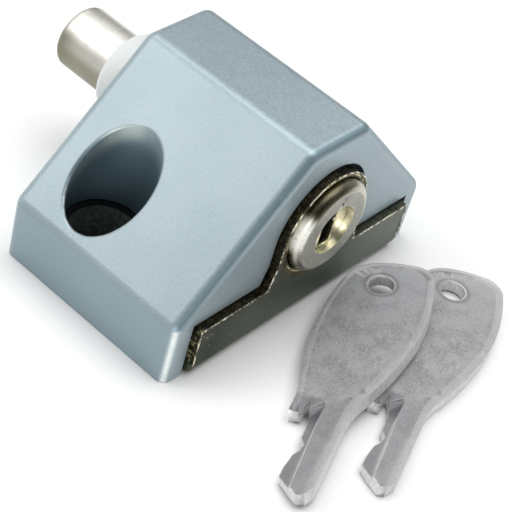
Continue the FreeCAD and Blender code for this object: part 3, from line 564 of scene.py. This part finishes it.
def key_metal():
    """Stamped nickel silver: a dull mottled face, a dark milled step, cut sides painted bright as
    if lit, and a painted highlight on the corners. In a key's own frame X runs from the tip to the
    bow, and Z is up through the face."""
    paint = Paint("key_metal", local=True, Metallic=0.35)
    flat = paint.node("Attribute", attribute_name="flat").outputs["Fac"]
    mottle = paint.noise(2.4, 7, 0.8)
    color = paint.mix(paint.ease(mottle, 0.36, 0.64), (0.245, 0.243, 0.250), (0.385, 0.382, 0.390))
    for pattern, tone in (
        (paint.ease(paint.noise(0.35, 4), 0.38, 0.62, 0.0, 0.55), (0.44, 0.44, 0.45)),
        (paint.ease(paint.noise(0.8, 5, 0.7), 0.55, 0.70, 0.0, 0.45), (0.20, 0.20, 0.21)),
        (paint.ease(paint.noise(3.0, 4, 0.7), 0.60, 0.67, 0.0, 0.85), (0.12, 0.12, 0.13)),
        # The last tone paints the end of the bow lighter, as painted light.
        (paint.ease(paint.x, 33, 41, 0.0, 0.45), (0.43, 0.43, 0.44)),
    ):
        color = paint.mix(pattern, color, tone)

    # The blade is darker than the bow, and its milled step darker still.
    blade = paint.every(paint.ease(paint.x, 13, 17, 1.0, 0.0), paint.ease(paint.y, -1.8, -1.2))
    color = paint.mix(paint.faded(blade, 0.5), color, (0.22, 0.22, 0.23))
    milled = paint.every(blade, paint.ease(paint.y, 0.8, 1.1))
    color = paint.mix(paint.faded(milled, 0.35), color, (0.13, 0.13, 0.14))

    # Scratches, mostly on the part of the bow that fingers hold.
    handled = paint.every(paint.ease(paint.x, 21, 24), paint.ease(paint.x, 32, 36, 1.0, 0.0))
    scratches = paint.noise(1.0, 6, 0.75, vector=paint.stretched((0.6, 3.5, 1), 62))
    marks = paint.every(paint.ease(scratches, 0.58, 0.68), paint.blend(handled, 0.25, 0.85))
    color = paint.mix(marks, color, (0.70, 0.70, 0.71))

    # The raised border of the bow, and a dark ring round its hole.
    off_middle = paint.calc("ABSOLUTE", paint.calc("SUBTRACT", paint.z, KEY_THICK / 2))
    border = paint.every(paint.ease(off_middle, 1.0, 1.06), paint.ease(flat, 0.95, 0.99),
                         paint.ease(paint.y, -2.0, 3.0, 1.0, 0.1))
    color = paint.mix(paint.faded(border, 0.45), color, (0.56, 0.56, 0.57))
    from_hole = paint.distance(paint.x, KEY_HOLE[0], paint.y, KEY_HOLE[1])
    dark_ring = paint.faded(paint.band(from_hole, KEY_HOLE_RADIUS + 0.5, 0.1, 0.3), 0.6)
    color = paint.mix(dark_ring, color, (0.20, 0.20, 0.21))

    # The cut sides, with shear lines across their thickness and painted bright as if lit, and a
    # painted highlight on the corners over them.
    cut = paint.ease(flat, 0.35, 0.6, 1.0, 0.0)
    shear = paint.noise(3.0, 4, 0.6, vector=paint.stretched((1.0, 1.0, 0.25)))
    cut_color_and_painted_light = paint.mix(paint.ease(shear, 0.35, 0.65), (0.60, 0.60, 0.61), (0.76, 0.76, 0.77))
    color = paint.mix(cut, color, cut_color_and_painted_light)
    # A painted highlight on the rounded corners.
    painted_edge_highlight = paint.every(paint.ease(flat, 0.3, 0.5), paint.ease(flat, 0.93, 0.985, 1.0, 0.0),
                       paint.ease(paint.noise(0.7, 4, 0.6), 0.3, 0.55, 0.35, 0.9),
                       paint.ease(paint.y, -1.0, 3.0, 1.0, 0.15))
    color = paint.mix(painted_edge_highlight, color, (0.86, 0.86, 0.87))

    # The milled step runs out in a point of painted shade beside the stop, which has a painted
    # highlight.
    run_out = paint.every(paint.ease(paint.x, 10.5, 14.0),
                          paint.ease(paint.x, 16.1, 16.3, 1.0, 0.0),
                          paint.ease(paint.y, 0.6, 0.9), paint.ease(paint.z, 1.20, 1.48),
                          paint.ease(paint.z, 2.06, 2.10, 1.0, 0.0))
    spread = paint.calc("SUBTRACT", paint.calc("MULTIPLY_ADD", paint.x, -0.55, 9.6), paint.y)
    pointed_painted_shade = paint.every(run_out, paint.ease(spread, 0.0, 0.5, 0.28, 0.85))
    color = paint.mix(pointed_painted_shade, color, (0.07, 0.07, 0.08))
    painted_stop_highlight = paint.every(cut, paint.ease(paint.x, 14.6, 15.2, 1.0, 0.0),
                       paint.ease(paint.y, 4.2, 4.8))
    color = paint.mix(painted_stop_highlight, color, (0.95, 0.95, 0.96))

    rough = paint.blend(cut, paint.ease(mottle, 0.3, 0.7, 0.40, 0.55), 0.35)
    normal = paint.bump(paint.noise(2.2, 7, 0.8), 0.030)
    normal = paint.bump(scratches, 0.020, normal)
    normal = paint.bump(paint.every(cut, shear), 0.020, normal)
    return paint.finish(color, rough, normal)


def worked_metal(name, color, rough, grain):
    """A plain worked metal with stains and a fine grain along X."""
    paint = Paint(name, Metallic=1.0)
    darker, stained = (tuple(c * share for c in color) for share in (0.72, 0.4))
    tone = paint.mix(paint.ease(paint.noise(0.5, 5, 0.6), 0.35, 0.65), darker, color)
    tone = paint.mix(paint.faded(paint.specks(0.8, 0.08, 0.25), 0.6), tone, stained)
    lines = paint.noise(grain, 4, vector=paint.stretched((0.2, 1, 1)))
    roughness = paint.ease(lines, 0.3, 0.7, rough * 0.8, rough * 1.3)
    return paint.finish(tone, roughness, paint.bump(lines, 0.004))


# ---- Softer copies of the machined pieces -------------------------------------------------------

# Corners closer together than this are one corner, in millimetres.
WELD = 0.002
# Facets that meet at less than this lie in one face, in degrees.
FLAT_ANGLE = 0.6
# Edges that turn by more than this are rounded over, in degrees, and those that still turn by
# more than this afterwards are shaded sharp.
ROUNDED_ANGLE = 32.0
SHADED_ANGLE = 40.0
BEVEL_STEPS = 2
# A wall with a side shorter than this is too low to round over, in millimetres.
LOW_WALL = 0.17

# Where each key lies: the place of its tip in millimetres, then its heading, pitch and roll in
# degrees.
KEY_PLACES = {
    "key_1": ((38.589, -27.222, 0.375), (111.17, -2.98, -12.18)),
    "key_2": ((43.845, -17.284, 0.0), (110.39, 0.0, 0.0)),
}
# The low wall where a key's milled step runs out is painted almost like the face: it counts as
# this level, where 1 is the face and 0 is a side.
RUN_OUT_LEVEL = 0.8


def key_frame(name):
    """A key's own frame, in millimetres."""
    place, turns = KEY_PLACES[name]
    heading, pitch, roll = (math.radians(t) for t in turns)
    turn = (Matrix.Rotation(heading, 4, "Z") @ Matrix.Rotation(pitch, 4, "Y")
            @ Matrix.Rotation(roll, 4, "X"))
    return Matrix.Translation(Vector(place)) @ turn


# How far each piece's corners are rounded, in millimetres, and which way its flat faces look.
SOFT_PIECES = {
    "base_plate": (0.18, (ALONG_X, ALONG_Z)),
    "lock_barrel": (0.07, (ALONG_X,)),
    "key_plug": (0.09, (ALONG_X,)),
    "key_1": (0.26, (key_frame("key_1").col[2].to_3d(),)),
    "key_2": (0.26, (ALONG_Z,)),
}


def body_of(name):
    """The body that a CAD piece belongs to."""
    bodies = frame["record"]["behaviour"]["bodies"]
    return next(body for body, members in bodies.items() if name in members)


def attach(piece, name, replaces=True):
    """Put a new piece in the scene, moving with a CAD piece."""
    bpy.context.scene.collection.objects.link(piece)
    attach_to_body(piece, body_of(name))
    if replaces:
        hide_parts(name)


def is_run_out(heights):
    """Whether a face is in the low wall at the end of a key's milled step, from its corners'
    heights in millimetres."""
    return 0.1 < max(heights) - min(heights) < 0.2 and min(heights) > 1.9


def mark_local(mesh, own_frame):
    """Store a key's own coordinates and how level each face is, so that both keys carry the same
    marks."""
    inward = own_frame.inverted() @ Matrix.Scale(1 / MM, 4)
    local = mesh.attributes.new("local", "FLOAT_VECTOR", "POINT")
    local.data.foreach_set("vector", [c for v in mesh.vertices for c in inward @ v.co])
    upward = own_frame.col[2].to_3d()
    levels = []
    for polygon in mesh.polygons:
        level = abs(polygon.normal.dot(upward))
        if level < 0.1 and is_run_out([local.data[i].vector.z for i in polygon.vertices]):
            level = RUN_OUT_LEVEL
        levels.append(level)
    flat = mesh.attributes.new("flat", "FLOAT", "FACE")
    flat.data.foreach_set("value", levels)


def is_low(face):
    """Whether a face is a wall too low to round over."""
    return min(e.calc_length() for e in face.edges) < LOW_WALL * MM


def softened(name, width, flats):
    """A copy of a CAD piece with its sharp corners rounded over, which stands for it.

    Faces along one of the flats' directions are shaded flat."""
    mesh = NODES[name].data.copy()
    mesh.name = f"{name}_soft"
    work = bmesh.new()
    work.from_mesh(mesh)
    bmesh.ops.remove_doubles(work, verts=work.verts, dist=WELD * MM)
    bmesh.ops.dissolve_degenerate(work, edges=work.edges, dist=WELD * MM)
    bmesh.ops.dissolve_limit(work, angle_limit=math.radians(FLAT_ANGLE), verts=work.verts,
                             edges=work.edges)
    sharp = [e for e in work.edges
             if len(e.link_faces) == 2 and e.calc_face_angle(0) > math.radians(ROUNDED_ANGLE)
             and not any(is_low(f) for f in e.link_faces)]
    bmesh.ops.bevel(work, geom=sharp, offset=width * MM, segments=BEVEL_STEPS, profile=0.5,
                    affect="EDGES", clamp_overlap=True)
    bmesh.ops.triangulate(work, faces=[f for f in work.faces if len(f.verts) > 4])
    work.to_mesh(mesh)
    work.free()
    if mesh.has_custom_normals:
        mesh.normals_split_custom_set([(0, 0, 0)] * len(mesh.loops))
    mesh.shade_smooth()
    for polygon in mesh.polygons:
        polygon.use_smooth = not any(abs(polygon.normal.dot(flat)) > 0.9999 for flat in flats)
    mesh.set_sharp_from_angle(angle=math.radians(SHADED_ANGLE))
    if name in KEY_PLACES:
        mark_local(mesh, key_frame(name))
    piece = bpy.data.objects.new(f"{name}_soft", mesh)
    weighted = piece.modifiers.new("weighted", "WEIGHTED_NORMAL")
    weighted.keep_sharp = True
    weighted.weight = 100
    attach(piece, name)
    return piece


# ---- The springs --------------------------------------------------------------------------------

# Heights of the leaf spring's underside and of the start of its hook, in millimetres.
LEAF_UNDER = 9.6
LEAF_HOOK = 17.0


def cut_piece(source, name, *planes):
    """The part of a CAD piece in front of every plane, closed again.

    A plane is a point on it, in millimetres, and the direction it faces."""
    work = bmesh.new()
    work.from_mesh(NODES[source].data)
    bmesh.ops.remove_doubles(work, verts=work.verts, dist=WELD * MM)
    for point, direction in planes:
        everything = work.verts[:] + work.edges[:] + work.faces[:]
        made = bmesh.ops.bisect_plane(work, geom=everything, plane_co=Vector(point) * MM,
                                      plane_no=direction, clear_inner=True)
        rim = [e for e in made["geom_cut"] if isinstance(e, bmesh.types.BMEdge)]
        bmesh.ops.contextual_create(work, geom=rim)
    bmesh.ops.recalc_face_normals(work, faces=work.faces)
    mesh = bpy.data.meshes.new(name)
    work.to_mesh(mesh)
    work.free()
    piece = bpy.data.objects.new(name, mesh)
    attach(piece, source)
    return piece


def add_springs():
    """A copy of the return spring stands in for it, and the leaf is cut into its foot, its strip
    and its hook, which move with the leaf's body."""
    coil = bpy.data.objects.new("return_coil", NODES["return_spring"].data.copy())
    bpy.context.scene.collection.objects.link(coil)
    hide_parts("return_spring")
    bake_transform(coil)
    under, hook = (0, 0, LEAF_UNDER), (0, 0, LEAF_HOOK)
    foot = cut_piece("catch_leaf", "leaf_foot", (under, (0, 0, -1)))
    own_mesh(foot)
    strip = cut_piece("catch_leaf", "leaf_strip", (under, (0, 0, 1)), (hook, (0, 0, -1)))
    tip = cut_piece("catch_leaf", "leaf_hook", (hook, (0, 0, 1)))
    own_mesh(tip)
    return {"return_spring": [coil], "catch_leaf": [foot, strip, tip]}


# ---- The burr along the front of the base plate -------------------------------------------------

# The thread of torn metal, in millimetres: its radius and how much thinner or thicker it gets,
# how far its middle lies ahead of the flange's face and inside the outline, how far it waves and
# jitters in and out, and the space between its rings of points.
BURR_RADIUS = 0.10
BURR_THINNER = 0.04
BURR_THICKER = 0.06
BURR_AHEAD = 0.02
BURR_INSIDE = 0.06
BURR_WAVE = 0.05
BURR_JITTER = 0.04
BURR_SPACING = 0.2
# The wave's turn from one ring to the next, in radians.
BURR_WAVE_STEP = 0.7
BURR_SIDES = 6
# The thread's depth, front to back, as a share of its width.
BURR_SQUAT = 0.8
BURR_SEED = 7


def front_outline():
    """The points along the upper front edge of the base plate's flange, in order, in metres."""
    work = bmesh.new()
    work.from_mesh(NODES["base_plate"].data)
    bmesh.ops.remove_doubles(work, verts=work.verts, dist=WELD * MM)
    joined = {}
    for edge in work.edges:
        fronts = sum(f.normal.x > 0.99 for f in edge.link_faces)
        sides = sum(abs(f.normal.x) < 0.1 for f in edge.link_faces)
        middle = (edge.verts[0].co + edge.verts[1].co) / 2 / MM
        off_axis = math.hypot(middle.y, middle.z - AXIS_Z)
        outer = off_axis > OPENING_RIM_RADIUS + 0.08 and middle.z > PLATE_THICK + 0.2
        if fronts == 1 and sides == 1 and outer:
            for start, end in (edge.verts, reversed(edge.verts)):
                joined.setdefault(start.co.copy().freeze(), []).append(end.co.copy().freeze())
    work.free()
    here = min((p for p, ends in joined.items() if len(ends) == 1), key=lambda p: p.y)
    path = [here]
    while True:
        onward = [p for p in joined[here] if p not in path]
        if not onward:
            return path
        here = onward[0]
        path.append(here)


def resampled(path, spacing):
    """Points at even distances along a line of points."""
    points = [path[0]]
    left = spacing
    for start, end in zip(path, path[1:]):
        span = (end - start).length
        reach = left
        while reach < span:
            points.append(start.lerp(end, reach / span))
            reach += spacing
        left = reach - span
    return points + [path[-1]]


def add_burr():
    """A thin, ragged thread of torn metal, standing just proud of the sheared edge."""
    chance = random.Random(BURR_SEED)
    points = resampled(front_outline(), BURR_SPACING * MM)
    vertices = []
    for i, point in enumerate(points):
        along = (points[min(i + 1, len(points) - 1)] - points[max(i - 1, 0)]).normalized()
        outward = ALONG_X.cross(along)
        wander = (BURR_WAVE * math.sin(i * BURR_WAVE_STEP)
                  + chance.uniform(-BURR_JITTER, BURR_JITTER))
        centre = (point + Vector((BURR_AHEAD * MM, 0, 0))
                  + outward * (wander * MM - BURR_INSIDE * MM))
        radius = (BURR_RADIUS + chance.uniform(-BURR_THINNER, BURR_THICKER)) * MM
        for k in range(BURR_SIDES):
            angle = 2 * math.pi * k / BURR_SIDES
            ahead = math.cos(angle) * Vector((BURR_SQUAT, 0, 0))
            vertices.append(centre + radius * (ahead + math.sin(angle) * outward))
    first_ring = range(BURR_SIDES)
    last_ring = range(len(vertices) - BURR_SIDES, len(vertices))
    faces = [tuple(reversed(first_ring)), tuple(last_ring)]
    for i in range(len(points) - 1):
        for k in range(BURR_SIDES):
            a, b = i * BURR_SIDES + k, i * BURR_SIDES + (k + 1) % BURR_SIDES
            faces.append((a, b, b + BURR_SIDES, a + BURR_SIDES))
    mesh = bpy.data.meshes.new("plate_burr")
    mesh.from_pydata(vertices, [], faces)
    work = bmesh.new()
    work.from_mesh(mesh)
    bmesh.ops.recalc_face_normals(work, faces=work.faces)
    work.to_mesh(mesh)
    work.free()
    mesh.shade_smooth()
    mesh.materials.append(torn_steel())
    attach(bpy.data.objects.new("plate_burr", mesh), "base_plate", replaces=False)


# ---- The whole lock -----------------------------------------------------------------------------


def dress():
    """Add the springs, the softer copies and the burr, and give every piece its material."""
    paints = {
        "housing_paint": housing_paint(),
        "plate_steel": plate_steel(),
        "zinc_screw": worked_metal("zinc_screw", (0.62, 0.63, 0.65), 0.30, 2.5),
        "white_nylon": nylon(),
        "satin_nickel": barrel_nickel(),
        "bright_nickel": bolt_nickel(),
        "plug_nickel": plug_nickel(),
        "wafer_brass": worked_metal("wafer_brass", (0.75, 0.58, 0.26), 0.32, 3.0),
        "spring_steel": worked_metal("spring_steel", (0.42, 0.42, 0.44), 0.28, 4.0),
        "key_metal": key_metal(),
    }
    pieces = {name: [node] for name, node in NODES.items()}
    pieces.update(add_springs())
    for name, (width, flats) in SOFT_PIECES.items():
        pieces[name] = [softened(name, width, flats)]
    for name, stand_ins in pieces.items():
        for piece in stand_ins:
            piece.data.materials.clear()
            piece.data.materials.append(paints[SLOTS[name]])
    add_burr()


add_camera()
add_studio()
dress()
